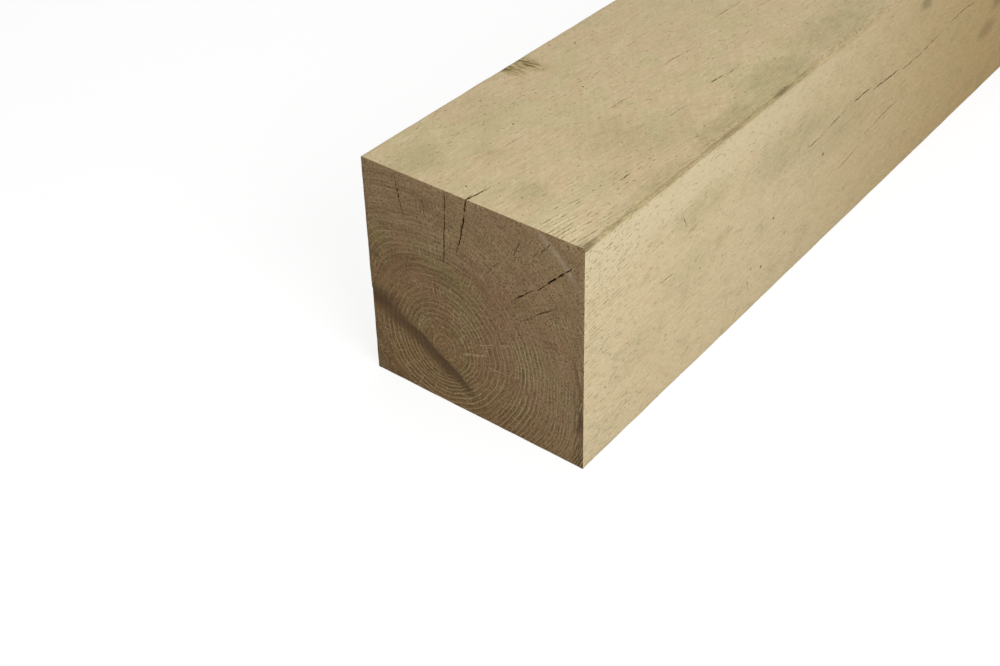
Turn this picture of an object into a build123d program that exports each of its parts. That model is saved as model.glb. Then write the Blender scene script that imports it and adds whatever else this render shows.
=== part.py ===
from build123d import *

import os
from math import hypot, pi, sin

# Sawn oak post, lying on one long face.
# It is one boxed-heart timber: the pith runs inside the section, low and to the left of centre, so one arris
# lies far out in the log and carries a little wane. The post is cross-cut at both ends, and it has dried, which
# has opened radial checks in the ends and short checks in the long faces.
# Frame: millimetres, +Z up, +Y along the post. The origin is in the middle of the bottom face, and the near end
# is at -Y.

# Stock size
LENGTH = 1800.0
WIDTH = 152.0
HEIGHT = 149.0

# Arrises left by the saw
ARRIS_RADIUS = 1.0

# The log: its pith, and the radius to its outer surface at stations along the post
PITH_X = -21.0
PITH_Z = 42.0
LOG_STATIONS = [
    (-1000, 146.0),
    (-760, 144.8),
    (-640, 142.6),
    (-430, 142.2),
    (-180, 143.6),
    (60, 145.2),
    (420, 143.0),
    (640, 142.0),
    (1000, 146.0),
]

# The near end was cut in two passes: below this line, in X and Z, the second one bites a little deeper
SAW_STEP_LINE = [(-76, 60.5), (-54, 48.5), (-26, 33), (4, 11), (17, 0)]
SAW_STEP_DEPTH = 1.2

# How far a cut starts outside the wood: in front of the face, and past the edges of the section
MOUTH_CLEARANCE = 0.5
EDGE_CLEARANCE = 5.0

# How a check closes inwards
INNER_LENGTH_SHARE = 0.45
INNER_GAPE = 0.12

# Checks in the near end: route in X and Z from its outer tip, widest gape, depth along the grain
NEAR_END_CHECKS = [
    ([(0.6, 153.5), (-2.6, 138), (-5.2, 125), (-8.6, 113)], 1.7, 46),
    ([(-15.4, 145), (-16.6, 131), (-17.4, 116), (-19.2, 97)], 0.9, 38),
    ([(-51, 145), (-48.6, 133), (-46, 121)], 1.0, 30),
    ([(67, 133), (57, 122.5), (47, 112)], 1.2, 42),
    ([(43.5, 110.5), (37, 104), (29, 96.5)], 0.8, 26),
    ([(53.8, 143), (50.5, 138.5), (47.6, 134.5)], 0.8, 14),
]

# Checks in the far end, in its own X, which runs the other way
FAR_END_CHECKS = [
    ([(10.5, 152), (13.5, 134), (15.5, 118)], 1.5, 40),
    ([(-60, 126), (-47, 114), (-33, 101)], 1.1, 34),
    ([(64, 74), (52, 66), (41, 57)], 0.9, 28),
]

# Checks in the long faces: distance from the near end, offset across the face, widest gape, depth going in.
# The offset is X on the top and bottom faces, and Z on the side faces.
TOP_CHECKS = [
    ([(125, 18.6), (134, 18.9), (141, 19.4)], 0.7, 5),
    ([(138, -25.6), (149, -24.9), (160, -24.7)], 0.8, 6),
    ([(183, 38), (196, 38.4), (211, 39.6)], 0.9, 7),
    ([(188, 3.4), (203, 4.4), (219, 5.1)], 0.8, 6),
    ([(520, -38), (548, -37.2), (577, -37.8)], 1.0, 9),
    ([(835, 22), (861, 23.2), (902, 22.6)], 1.1, 9),
    ([(1180, -12), (1214, -10.8), (1262, -11.4)], 1.2, 11),
    ([(1465, 31), (1490, 31.8), (1526, 31.2)], 1.0, 8),
]
RIGHT_CHECKS = [
    ([(241, 92.4), (251, 91.4), (264, 93)], 0.9, 7),
    ([(267, 94.4), (279, 95.4), (292, 96.2)], 1.0, 8),
    ([(300, 96.8), (313, 97.6), (327, 96.9)], 1.2, 10),
    ([(331, 93.6), (349, 92.6), (371, 91.7)], 1.5, 13),
    ([(373, 89.4), (404, 89.2), (440, 92.6)], 1.4, 13),
    ([(453, 94.2), (476, 95.2), (503, 94)], 1.1, 9),
    ([(290, 52), (305, 53.2), (321, 55.8)], 1.0, 8),
    ([(328, 61), (352, 64.6), (375, 65.4)], 1.1, 9),
    ([(760, 71), (801, 72.6), (858, 71.4)], 1.3, 12),
    ([(1120, 97), (1158, 98.4), (1204, 97.2)], 1.1, 10),
    ([(1390, 58), (1436, 59.6), (1497, 58.6)], 1.3, 12),
]
BOTTOM_CHECKS = [
    ([(210, -6), (262, -4.6), (330, -5.8)], 1.1, 10),
    ([(770, -29), (835, -27.4), (905, -28.8)], 1.3, 12),
    ([(1290, 8), (1338, 9.4), (1396, 8.4)], 1.1, 10),
]
LEFT_CHECKS = [
    ([(340, 52), (398, 53.6), (470, 52.8)], 1.2, 11),
    ([(905, 36), (962, 37.4), (1034, 36.4)], 1.3, 12),
    ([(1420, 66), (1462, 67.2), (1512, 66.2)], 1.1, 9),
]

HALF_LENGTH = LENGTH / 2
HALF_WIDTH = WIDTH / 2

# Working planes on the ends, with their normals outwards
NEAR_END = Plane(origin=(0, -HALF_LENGTH, 0), x_dir=(1, 0, 0), z_dir=(0, -1, 0))
FAR_END = Plane(origin=(0, HALF_LENGTH, 0), x_dir=(-1, 0, 0), z_dir=(0, 1, 0))


def sawn_stock():
    """The squared timber, with its four long arrises a little eased."""
    stock = Box(WIDTH, LENGTH, HEIGHT, align=(Align.CENTER, Align.CENTER, Align.MIN))
    return fillet(stock.edges().filter_by(Axis.Y), ARRIS_RADIUS)


def log_envelope():
    """The log that the timber was cut from: its outline, turned about the pith."""
    outline = Spline(*[(radius, y) for y, radius in LOG_STATIONS])
    first, last = LOG_STATIONS[0][0], LOG_STATIONS[-1][0]
    edges = Polyline(outline @ 0, (0, first), (0, last), outline @ 1)
    half_section = make_face(outline.edges() + edges.edges())
    log = revolve(half_section, Axis.Y, 360)
    return Pos(PITH_X, 0, PITH_Z) * log


def saw_step():
    """A shallow wedge below the step line: full depth along the line, nothing at the lower left corner."""
    line = Spline(*SAW_STEP_LINE)
    (x0, z0), (x1, z1) = SAW_STEP_LINE[0], SAW_STEP_LINE[-1]
    left, low = x0 - EDGE_CLEARANCE, -EDGE_CLEARANCE
    outside = Polyline(line @ 1, (x1, low), (left, low), (left, z0), line @ 0)
    region = make_face(line.edges() + outside.edges())
    bite = extrude(NEAR_END.offset(MOUTH_CLEARANCE) * region, amount=-MOUTH_CLEARANCE - SAW_STEP_DEPTH)
    slope_x, slope_z = SAW_STEP_DEPTH / (x1 - x0), SAW_STEP_DEPTH / (z0 - z1)
    step_floor = Plane(origin=(x0, -HALF_LENGTH, z1), z_dir=Vector(slope_x, -1, slope_z))
    return split(bite, bisect_by=step_floor, keep=Keep.TOP)


def gape_outline(route, gape):
    """A thin closed outline about a route: pointed at both tips and widest in the middle."""
    steps = [hypot(b[0] - a[0], b[1] - a[1]) for a, b in zip(route, route[1:])]
    left, right = [], []
    for i in range(1, len(route) - 1):
        (x0, y0), (x1, y1) = route[i - 1], route[i + 1]
        run = hypot(x1 - x0, y1 - y0)
        across = (-(y1 - y0) / run, (x1 - x0) / run)
        half = gape / 2 * sin(pi * sum(steps[:i]) / sum(steps)) ** 0.5
        left.append((route[i][0] + across[0] * half, route[i][1] + across[1] * half))
        right.append((route[i][0] - across[0] * half, route[i][1] - across[1] * half))
    return make_face(Polyline(route[0], *left, route[-1], *reversed(right), close=True))


def shorter(route, share):
    """The route drawn in towards its middle."""
    middle = ((route[0][0] + route[-1][0]) / 2, (route[0][1] + route[-1][1]) / 2)
    return [(middle[0] + (x - middle[0]) * share, middle[1] + (y - middle[1]) * share) for x, y in route]


def check(plane, route, gape, depth, lean=(0.0, 0.0)):
    """One drying check: a thin wedge that opens at the plane and closes inside, moved by lean on the way in."""
    mouth = plane.offset(MOUTH_CLEARANCE) * gape_outline(route, gape)
    inner_route = [(x + lean[0], y + lean[1]) for x, y in shorter(route, INNER_LENGTH_SHARE)]
    root = plane.offset(-depth) * gape_outline(inner_route, INNER_GAPE)
    return loft([mouth, root], ruled=True)


def end_checks(plane, checks):
    return [check(plane, route, gape, depth) for route, gape, depth in checks]


def face_checks(normal, surface, checks):
    """Checks in a long face. They follow the rays, so they lean towards the pith as they go in."""
    plane = Plane(
        origin=(normal[0] * surface, -HALF_LENGTH, normal[1] * surface),
        x_dir=(0, 1, 0),
        z_dir=(normal[0], 0, normal[1]),
    )
    across = (plane.y_dir.X, plane.y_dir.Z)
    side = sum(across)
    found = []
    for route, gape, depth in checks:
        offset = route[len(route) // 2][1]
        point = (normal[0] * surface + abs(across[0]) * offset, normal[1] * surface + abs(across[1]) * offset)
        to_pith = (PITH_X - point[0], PITH_Z - point[1])
        inwards = -(to_pith[0] * normal[0] + to_pith[1] * normal[1])
        sideways = to_pith[0] * across[0] + to_pith[1] * across[1]
        placed = [(y, offset * side) for y, offset in route]
        found.append(check(plane, placed, gape, depth, lean=(0.0, depth * sideways / inwards)))
    return found


def oak_post():
    """The whole post as one solid."""
    post = sawn_stock() & log_envelope()
    cuts = [saw_step()]
    cuts += end_checks(NEAR_END, NEAR_END_CHECKS)
    cuts += end_checks(FAR_END, FAR_END_CHECKS)
    cuts += face_checks((0, 1), HEIGHT, TOP_CHECKS)
    cuts += face_checks((1, 0), HALF_WIDTH, RIGHT_CHECKS)
    cuts += face_checks((0, -1), 0.0, BOTTOM_CHECKS)
    cuts += face_checks((-1, 0), HALF_WIDTH, LEFT_CHECKS)
    for cut in cuts:
        post = post - cut
    return post


os.makedirs("parts", exist_ok=True)
export_step(oak_post(), "parts/oak_post.step")
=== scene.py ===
import math
import random
from contextlib import contextmanager
from functools import partial

import bmesh
import bpy
from mathutils import Matrix, Vector


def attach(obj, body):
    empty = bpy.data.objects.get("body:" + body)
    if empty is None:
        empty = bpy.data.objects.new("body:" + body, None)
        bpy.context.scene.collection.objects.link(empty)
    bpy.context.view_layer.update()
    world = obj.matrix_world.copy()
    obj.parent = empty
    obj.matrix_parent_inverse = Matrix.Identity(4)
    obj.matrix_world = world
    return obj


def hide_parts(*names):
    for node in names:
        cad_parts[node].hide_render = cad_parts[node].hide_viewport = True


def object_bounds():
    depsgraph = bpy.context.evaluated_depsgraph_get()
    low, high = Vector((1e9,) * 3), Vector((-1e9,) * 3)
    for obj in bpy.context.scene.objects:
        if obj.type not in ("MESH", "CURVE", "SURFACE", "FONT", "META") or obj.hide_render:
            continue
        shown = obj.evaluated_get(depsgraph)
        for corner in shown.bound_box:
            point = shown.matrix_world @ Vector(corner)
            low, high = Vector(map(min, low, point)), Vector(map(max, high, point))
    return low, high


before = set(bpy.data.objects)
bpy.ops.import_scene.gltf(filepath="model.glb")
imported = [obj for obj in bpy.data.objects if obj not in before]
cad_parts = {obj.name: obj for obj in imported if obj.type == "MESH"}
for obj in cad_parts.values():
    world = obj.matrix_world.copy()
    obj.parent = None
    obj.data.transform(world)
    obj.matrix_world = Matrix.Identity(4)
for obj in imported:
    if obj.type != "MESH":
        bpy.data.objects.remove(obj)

bl_info = {
    "name": "Sawn oak post",
    "version": (1, 0, 0),
    "blender": (4, 5, 0),
    "location": "View3D > Sidebar > Oak post",
    "description": "Builds a sawn oak post with its checks, wane and end grain, and a stage to see it on",
    "category": "Object",
}

MM = 0.001
SEED = 7

# The post's box, from the frame
CAD_LOW, CAD_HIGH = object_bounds()
NEAR_Y = CAD_LOW.y
FAR_Y = CAD_HIGH.y
HALF_WIDTH = CAD_HIGH.x
HEIGHT = CAD_HIGH.z

# The log it was sawn from: its pith in the near end, in millimetres, and its radius along the post
PITH_X = -21.0
PITH_Z = 42.0
LOG_STATIONS = [
    (-1000, 146.0),
    (-760, 144.8),
    (-640, 142.6),
    (-430, 142.2),
    (-180, 143.6),
    (60, 145.2),
    (420, 143.0),
    (640, 142.0),
    (1000, 146.0),
]

# The step that two saw passes left in the near end: its line in X and Z, in millimetres, and its share of
# the full depth along that line. The left end broke away deeper.
SAW_STEP_LINE = [(-75.8, 59.6), (-54, 49), (-40, 42.5), (-26, 33.5), (-13, 26.5), (4, 11.5), (16.8, -0.1)]
SAW_STEP_SHARE = [1.3, 1.0, 1.0, 1.0, 0.9, 0.6, 0.2]

# Drying checks by face: route, widest gape and depth, in millimetres. Routes in the ends are in X and Z from
# the outer tip. Routes in the long faces are distance from the near end, and X or Z across the face. A check
# whose first point lies outside the wood opens at that arris.
CHECKS = {
    "near_end": [
        ([(-0.6, 150.4), (-2.9, 137.6), (-5.5, 124.4), (-9.1, 111.3)], 1.6, 26),
        ([(-15.4, 148), (-16.9, 130.4), (-17.7, 115.3), (-19.2, 94)], 1.3, 20),
        ([(-52, 145.6), (-49.1, 132.3), (-45.9, 117.6)], 1.5, 18),
        ([(67.5, 132.9), (57.3, 122.2), (46.1, 110.5)], 1.2, 20),
        ([(43.6, 109.9), (37, 103.4), (27.9, 94.8)], 0.9, 14),
        ([(54.2, 143), (50.8, 138.4), (47.9, 134.3)], 0.9, 10),
        ([(-32.3, 138), (-31.8, 132.4), (-31.4, 127.3)], 0.75, 8),
        ([(58.8, 104), (53, 99.8), (45.5, 94.5), (35.2, 85.4)], 0.75, 9),
        ([(47.5, 138.1), (45.4, 134.3), (42.6, 129.6)], 0.7, 7),
        ([(-45.9, 116.1), (-45.2, 112.1), (-44.5, 107)], 0.6, 6),
        ([(-26.9, 87), (-26.2, 79.1), (-25.1, 69.1)], 0.6, 6),
        ([(35.2, 137), (32.4, 131), (29.4, 125)], 0.55, 5),
        ([(19.5, 117), (15, 112), (11.8, 106)], 0.55, 5),
        ([(-73, 87.6), (-70.4, 85.4), (-68, 83.6)], 0.7, 5),
    ],
    "far_end": [
        ([(-9, 156), (-13.5, 134), (-15.5, 118)], 1.5, 40),
        ([(60, 126), (47, 114), (33, 101)], 1.1, 34),
        ([(-64, 74), (-52, 66), (-41, 57)], 0.9, 28),
        ([(20, 132), (16, 121), (13, 110)], 0.5, 12),
        ([(58, 60), (47, 57), (36, 54)], 0.5, 12),
    ],
    "top": [
        ([(-5.3, -1.6), (2.5, -0.4), (9, 0.8), (17.3, 2.3)], 1.3, 7),
        ([(124.5, 4.7), (132.4, 4.8), (140, 5.4)], 0.6, 4),
        ([(137.9, -28.4), (143.9, -27.6), (150, -27.5)], 0.6, 4),
        ([(150.5, -26.8), (156, -26.3), (161.5, -26.6)], 0.55, 4),
        ([(184.3, 35.5), (192.4, 35.7), (199, 36.7)], 0.75, 6),
        ([(200.5, 37.5), (206.6, 37.8), (212.1, 38.4)], 0.6, 4),
        ([(188.7, 0.2), (203.8, 1.4), (220, 2.9)], 0.6, 4),
        ([(193.1, -31.5), (199.1, -31.2), (204.2, -31.4)], 0.6, 4),
        ([(206.1, -32.1), (210.2, -31.9), (214.2, -32.2)], 0.5, 3),
        ([(55.5, -17.8), (62.8, -17.3), (70.8, -17.4)], 0.65, 4),
        ([(33, -22.8), (37, -22.6), (41.5, -22.9)], 0.4, 2),
        ([(46, -48.4), (50, -48.2), (54, -48.6)], 0.4, 2),
        ([(108, -31.2), (114, -30.4), (121, -30)], 0.4, 3),
        ([(62.5, 53.3), (67.6, 53.9), (73.6, 53.8)], 0.65, 4),
        ([(136.9, 37.4), (146, 38), (155.1, 38.8)], 0.5, 3),
        ([(111, 30.4), (117, 30.6), (123, 30.2)], 0.4, 2),
        ([(60, 26.7), (62.4, 26.8), (65, 26.7)], 0.4, 2),
        ([(263.1, -8.9), (277.2, -8.1), (293.4, -7.5)], 0.6, 5),
        ([(330.6, 24), (348.9, 25.2), (364.1, 25.8)], 0.65, 5),
        ([(522.8, -38.7), (551.3, -37.9), (580.6, -38.5)], 1.0, 9),
        ([(835, 22), (861, 23.2), (902, 22.6)], 1.1, 9),
        ([(1180, -12), (1214, -10.8), (1262, -11.4)], 1.2, 11),
        ([(1465, 31), (1490, 31.8), (1526, 31.2)], 1.0, 8),
    ],
    "right": [
        ([(93.2, 118.6), (96, 114.2), (98.2, 108.6)], 0.8, 3),
        ([(100, 103.8), (105.6, 104.4), (111.1, 105.6)], 0.6, 3),
        ([(71.4, 85.6), (78.4, 84.7), (86, 84.3)], 0.65, 4),
        ([(16, 140), (21, 139.4), (26.5, 138.9)], 0.45, 2),
        ([(27, 75.6), (33, 75.1), (38, 74.9)], 0.5, 3),
        ([(242.4, 91.1), (252.4, 90.1), (265.6, 91.7)], 0.7, 6),
        ([(268.7, 93.1), (280.9, 94.1), (294, 94.8)], 0.75, 6),
        ([(302.2, 95.4), (315.3, 96.2), (329.4, 95.5)], 0.95, 8),
        ([(333.3, 92.2), (351.4, 91.2), (373.5, 90.3)], 1.2, 10),
        ([(378.4, 88), (406.7, 87.7), (443.4, 91.1)], 0.85, 9),
        ([(456.7, 92.7), (480.1, 93.7), (507.4, 92.4)], 0.7, 7),
        ([(289.5, 50.9), (304.6, 52.1), (320.8, 54.6)], 0.8, 6),
        ([(328.2, 59.7), (352.5, 63.3), (375.7, 64)], 0.75, 6),
        ([(174.4, 27), (176.8, 23), (177.7, 17.7)], 0.7, 3),
        ([(160.5, 1), (162.3, 5.3), (164.8, 9.6)], 0.8, 3),
        ([(760, 71), (801, 72.6), (858, 71.4)], 1.3, 12),
        ([(1120, 97), (1158, 98.4), (1204, 97.2)], 1.1, 10),
        ([(1390, 58), (1436, 59.6), (1497, 58.6)], 1.3, 12),
    ],
    "bottom": [
        ([(210, -6), (262, -4.6), (330, -5.8)], 1.1, 10),
        ([(770, -29), (835, -27.4), (905, -28.8)], 1.3, 12),
        ([(1290, 8), (1338, 9.4), (1396, 8.4)], 1.1, 10),
    ],
    "left": [
        ([(340, 52), (398, 53.6), (470, 52.8)], 1.2, 11),
        ([(905, 36), (962, 37.4), (1034, 36.4)], 1.3, 12),
        ([(1420, 66), (1462, 67.2), (1512, 66.2)], 1.1, 9),
    ],
}

# Beetles' pin holes and small pits: face, place on it, width, depth, in millimetres
PIN_HOLES = [
    ("top", (10.4, -9.1), 1.5, 3),
    ("top", (136.4, -23.1), 1.6, 3),
    ("top", (179.5, -60.3), 1.4, 3),
    ("top", (77.2, -29.4), 1.9, 1),
    ("top", (203.9, 6.9), 1.3, 3),
    ("top", (94.6, 43.6), 1.4, 0.7),
    ("top", (96.8, 31.8), 1.3, 0.6),
    ("top", (87, -61.4), 1.3, 0.8),
    ("top", (19.2, 21.4), 1.2, 0.5),
    ("right", (265.7, 74.4), 2.2, 4),
    ("right", (203.7, 58), 2.0, 4),
    ("right", (192.4, 27.5), 2.0, 4),
    ("right", (178.7, 33.4), 1.8, 3),
    ("right", (115.6, 70.6), 1.5, 0.8),
    ("right", (115.2, 31.4), 1.4, 0.8),
    ("right", (45, 16.4), 1.3, 0.7),
    ("right", (110.4, 78.4), 1.3, 0.6),
    ("right", (20.2, 45.6), 1.2, 0.5),
    ("right", (67.6, 56.6), 1.3, 0.5),
    ("right", (11.4, 114.6), 1.1, 0.6),
    ("left", (520, 71), 1.8, 4),
    ("left", (1150, 110), 1.6, 4),
    ("bottom", (640, 22), 1.8, 4),
]

# How far a cutter starts outside the wood, and past the edges of the section, in millimetres
PROUD = 0.9
STEP_MARGIN = 5.0

# A check's width at its root, as a share of its width at the surface
ROOT_SHARE = 0.14
# The distance between the places where a check's width changes, in millimetres, the most that it has of them,
# and the shares of its gape that it takes there
CHECK_STEP = 1.2
MOST_STEPS = 40
CHECK_WIDTHS = (0.15, 0.5, 0.8, 0.95, 1.05, 1.2)
# The run before a check jumps aside to the next ray, how far it jumps, and how raggedly it wanders between
# jumps, in millimetres
CHECK_RUN = 7.0
CHECK_JUMP = 0.3
CHECK_WANDER = 0.15
# How much of a check's closing is left off at each tip, and the least share of its width and depth there
TIP_CUT = 0.03
TIP_WIDTH = 0.05
TIP_DEPTH = 0.15
# The share of its depth that a check has at an arris that it opens
OPEN_DEPTH = 0.2

# A pin hole's sides, its radius at the bottom and at the mouth as a share of its width, and how much it may be
# drawn in or out
HOLE_SIDES = 9
HOLE_RADII = (0.3, 0.5)
HOLE_STRETCH = (-0.15, 0.25)

# The wane's cutter: how far round the log it reaches on each side of the arris, in degrees, where it runs
# along the post and how torn it is, in millimetres, its cells, and its outer radius as a share of the log's
WANE_REACH = 4.5
WANE_RUN = (-1100, 500)
WANE_RELIEF = 0.9
WANE_CUTS = 27
WANE_STEPS = 9
WANE_OUT = 1.08

# The saw step's cutter: its columns and rows, and how wide the slope down into the step is, in millimetres
STEP_COLUMNS = 28
STEP_ROWS = 7
STEP_SLOPE = 3.2

# How the post is gridded lengthwise: each zone's far end from the near end, and its cell, in millimetres
ZONES = [(240, 3.0), (860, 4.5), (1800, 9.0)]

# A face looks along an axis when more than this share of its normal lies along it, and an edge runs along one
# when more than this share of its length does
FACING = 0.7
RUNNING = 0.99
# Faces that meet at less than this angle, in degrees, shade as one curve
SMOOTH_ANGLE = 38

# Node kinds, each with the setting that tells it apart
COORDINATES = ("ShaderNodeTexCoord", {})
SEPARATE = ("ShaderNodeSeparateXYZ", {})
COMBINE = ("ShaderNodeCombineXYZ", {})
PLUS, MINUS, TIMES, OVER, SIZE_OF, LEAST, MOST, FLOOR, FRACTION, SINE, TURN_OF = (
    ("ShaderNodeMath", {"operation": name})
    for name in "ADD SUBTRACT MULTIPLY DIVIDE ABSOLUTE MINIMUM MAXIMUM FLOOR FRACT SINE ARCTAN2".split()
)
VECTOR_PLUS, VECTOR_MINUS, VECTOR_TIMES, VECTOR_OVER, DOT, LENGTH_OF = (
    ("ShaderNodeVectorMath", {"operation": name})
    for name in "ADD SUBTRACT MULTIPLY DIVIDE DOT_PRODUCT LENGTH".split()
)
NOISE = ("ShaderNodeTexNoise", {})
FLAT_NOISE = ("ShaderNodeTexNoise", {"noise_dimensions": "2D"})
FLAT_CELLS = ("ShaderNodeTexVoronoi", {"voronoi_dimensions": "2D"})
CHANCE = ("ShaderNodeTexWhiteNoise", {})
RAMP = ("ShaderNodeMapRange", {"interpolation_type": "SMOOTHSTEP"})
CURVE = ("ShaderNodeFloatCurve", {})
BLEND = ("ShaderNodeMix", {"data_type": "RGBA"})
TINT = ("ShaderNodeMix", {"data_type": "RGBA", "blend_type": "MULTIPLY"})
BUMP = ("ShaderNodeBump", {})
SURFACE = ("ShaderNodeBsdfPrincipled", {})
MATERIAL_OUTPUT = ("ShaderNodeOutputMaterial", {})
WORLD_OUTPUT = ("ShaderNodeOutputWorld", {})
BACKGROUND = ("ShaderNodeBackground", {})
LIGHT_PATH = ("ShaderNodeLightPath", {})
DIFFUSE = ("ShaderNodeBsdfDiffuse", {})
GLOW = ("ShaderNodeEmission", {})
MIXED = ("ShaderNodeMixShader", {})
GROUP_INPUT = ("NodeGroupInput", {})
GROUP_OUTPUT = ("NodeGroupOutput", {})


def linear(colour):
    """An sRGB hex colour as linear red, green, blue and alpha."""
    channels = [int(colour[i : i + 2], 16) / 255 for i in (1, 3, 5)]
    return (*(c / 12.92 if c <= 0.04045 else ((c + 0.055) / 1.055) ** 2.4 for c in channels), 1.0)


def add(tree, kind, *inputs, points=None, **named):
    """Adds a node. Its inputs go to its sockets in order, or by name; points shape a curve."""
    node = tree.nodes.new(kind[0])
    for name, value in kind[1].items():
        setattr(node, name, value)
    if points:
        curve = node.mapping.curves[0]
        while len(curve.points) < len(points):
            curve.points.new(0.5, 0.5)
        for point, place in zip(curve.points, points):
            point.location = place
            point.handle_type = "VECTOR"
        node.mapping.update()
    sockets = [s for s in node.inputs if s.enabled]
    by_name = {s.name.replace(" ", "_"): s for s in sockets}
    for socket, value in [*zip(sockets, inputs), *((by_name[name], value) for name, value in named.items())]:
        if isinstance(value, bpy.types.Node):
            value = next(s for s in value.outputs if s.enabled)
        if isinstance(value, bpy.types.NodeSocket):
            tree.links.new(value, socket)
        else:
            socket.default_value = value
    return node


class OakPostShape(bpy.types.PropertyGroup):
    arris_ease: bpy.props.FloatProperty(
        name="Arris ease", description="Radius worn onto the long arrises", default=0.7 * MM, unit="LENGTH"
    )
    end_ease: bpy.props.FloatProperty(
        name="End ease", description="Radius left round the sawn ends", default=0.3 * MM, unit="LENGTH"
    )
    cell: bpy.props.FloatProperty(
        name="Cell", description="Size of a mesh cell across the post", default=4 * MM, unit="LENGTH"
    )
    face_relief: bpy.props.FloatProperty(
        name="Face relief", description="Depth of hollows in a sawn face", default=0.3 * MM, unit="LENGTH"
    )
    arris_wear: bpy.props.FloatProperty(
        name="Arris wear", description="Depth of chips and wear in an arris", default=0.6 * MM, unit="LENGTH"
    )
    step_depth: bpy.props.FloatProperty(
        name="Saw step", description="Depth of the step between saw passes", default=0.7 * MM, unit="LENGTH"
    )


class StageSettings(bpy.types.PropertyGroup):
    lens: bpy.props.FloatProperty(
        name="Lens", description="Focal length of the camera", default=52.78, unit="CAMERA"
    )
    floor_colour: bpy.props.FloatVectorProperty(
        name="Floor", description="Colour of the floor", subtype="COLOR", size=4, default=linear("#f7f7f6")
    )
    overhead: bpy.props.FloatProperty(
        name="Overhead", description="Power of the softbox above the post", default=23.5, unit="POWER"
    )
    side: bpy.props.FloatProperty(
        name="Side", description="Power of the softbox beside the post", default=9.3, unit="POWER"
    )
    sky: bpy.props.FloatProperty(
        name="Sky", description="Brightness of the studio round the post", default=0.3, subtype="FACTOR"
    )


def activate(piece):
    """Makes a piece the only selected one, and the active one."""
    bpy.ops.object.select_all(action="DESELECT")
    piece.select_set(True)
    bpy.context.view_layer.objects.active = piece


@contextmanager
def edit_mode(piece):
    """Holds a piece in edit mode."""
    activate(piece)
    bpy.ops.object.mode_set(mode="EDIT")
    yield
    bpy.ops.object.mode_set(mode="OBJECT")


def pick(piece, kind, test):
    """In edit mode, selects only the VERT, EDGE or FACE elements that pass the test."""
    bpy.ops.mesh.select_mode(type=kind)
    bpy.ops.mesh.select_all(action="DESELECT")
    shape = bmesh.from_edit_mesh(piece.data)
    parts = {"VERT": shape.verts, "EDGE": shape.edges, "FACE": shape.faces}[kind]
    for part in parts:
        if test(part):
            part.select_set(True)
    shape.select_flush_mode()
    bmesh.update_edit_mesh(piece.data)


def runs_along(axis, low=-math.inf, high=math.inf):
    """A test for edges along an axis whose middle lies between two places in Y."""

    def test(edge):
        a, b = (v.co for v in edge.verts)
        return abs((b - a).normalized()[axis]) > RUNNING and low < (a.y + b.y) / 2 < high

    return test


def gridded_blank(shape):
    """The squared timber as a grid of cells, finest towards the near end, with sharp arrises."""
    size = CAD_HIGH - CAD_LOW
    bpy.ops.mesh.primitive_cube_add(size=1, location=(CAD_LOW + CAD_HIGH) / 2, scale=size)
    post = bpy.context.active_object
    bpy.ops.object.transform_apply(location=True, rotation=True, scale=True)
    with edit_mode(post):
        low = NEAR_Y
        for end, cell in ZONES:
            high = NEAR_Y + end * MM
            if high < FAR_Y - cell * MM:
                bpy.ops.mesh.select_all(action="SELECT")
                bpy.ops.mesh.bisect(plane_co=(0, high, 0), plane_no=(0, 1, 0))
            pick(post, "EDGE", runs_along(1, low, high))
            bpy.ops.mesh.subdivide(number_cuts=round((high - low) / (cell * MM)) - 1)
            low = high
        for axis in (0, 2):
            pick(post, "EDGE", runs_along(axis))
            bpy.ops.mesh.subdivide(number_cuts=round(size[axis] / shape.cell) - 1)
    return post


def eased(piece, width, segments, turns):
    """Rounds the edges between two faces whose normals lie in the two sets of directions."""
    first, second = turns
    with edit_mode(piece):
        pick(
            piece,
            "EDGE",
            lambda e: len(e.link_faces) == 2
            and any(first(f.normal) for f in e.link_faces)
            and any(second(f.normal) for f in e.link_faces),
        )
        bpy.ops.mesh.bevel(offset=width, segments=segments, affect="EDGES")


def faces_side(normal):
    return abs(normal.x) > FACING


def faces_flat(normal):
    return abs(normal.z) > FACING


def faces_end(normal):
    return abs(normal.y) > FACING


def from_side(place):
    return HALF_WIDTH - abs(place.x)


def from_flat(place):
    return min(place.z, HEIGHT - place.z)


def from_end(place):
    return min(place.y - NEAR_Y, FAR_Y - place.y)


def marked(piece, name, test):
    """Puts the vertices that pass the test in a vertex group."""
    piece.vertex_groups.new(name=name)
    with edit_mode(piece):
        pick(piece, "VERT", lambda v: test(v.co))
        bpy.ops.object.vertex_group_assign()


def roughen(piece, spread, depth, octaves, group="", proud=0.1):
    """Sinks the surface by up to a depth in soft hollows of the given spread, in millimetres by axis."""
    bpy.ops.object.empty_add()
    measure = bpy.context.active_object
    measure.scale = Vector(spread) * MM
    hollows = bpy.data.textures.new("hollows", "CLOUDS")
    hollows.noise_scale = 1.0
    hollows.noise_depth = octaves
    activate(piece)
    modifier = piece.modifiers.new("relief", "DISPLACE")
    modifier.texture = hollows
    modifier.texture_coords = "OBJECT"
    modifier.texture_coords_object = measure
    modifier.mid_level = 1.0 - proud
    modifier.strength = depth
    modifier.vertex_group = group
    bpy.ops.object.modifier_apply(modifier=modifier.name)
    bpy.data.objects.remove(measure)
    bpy.data.textures.remove(hollows)


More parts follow.
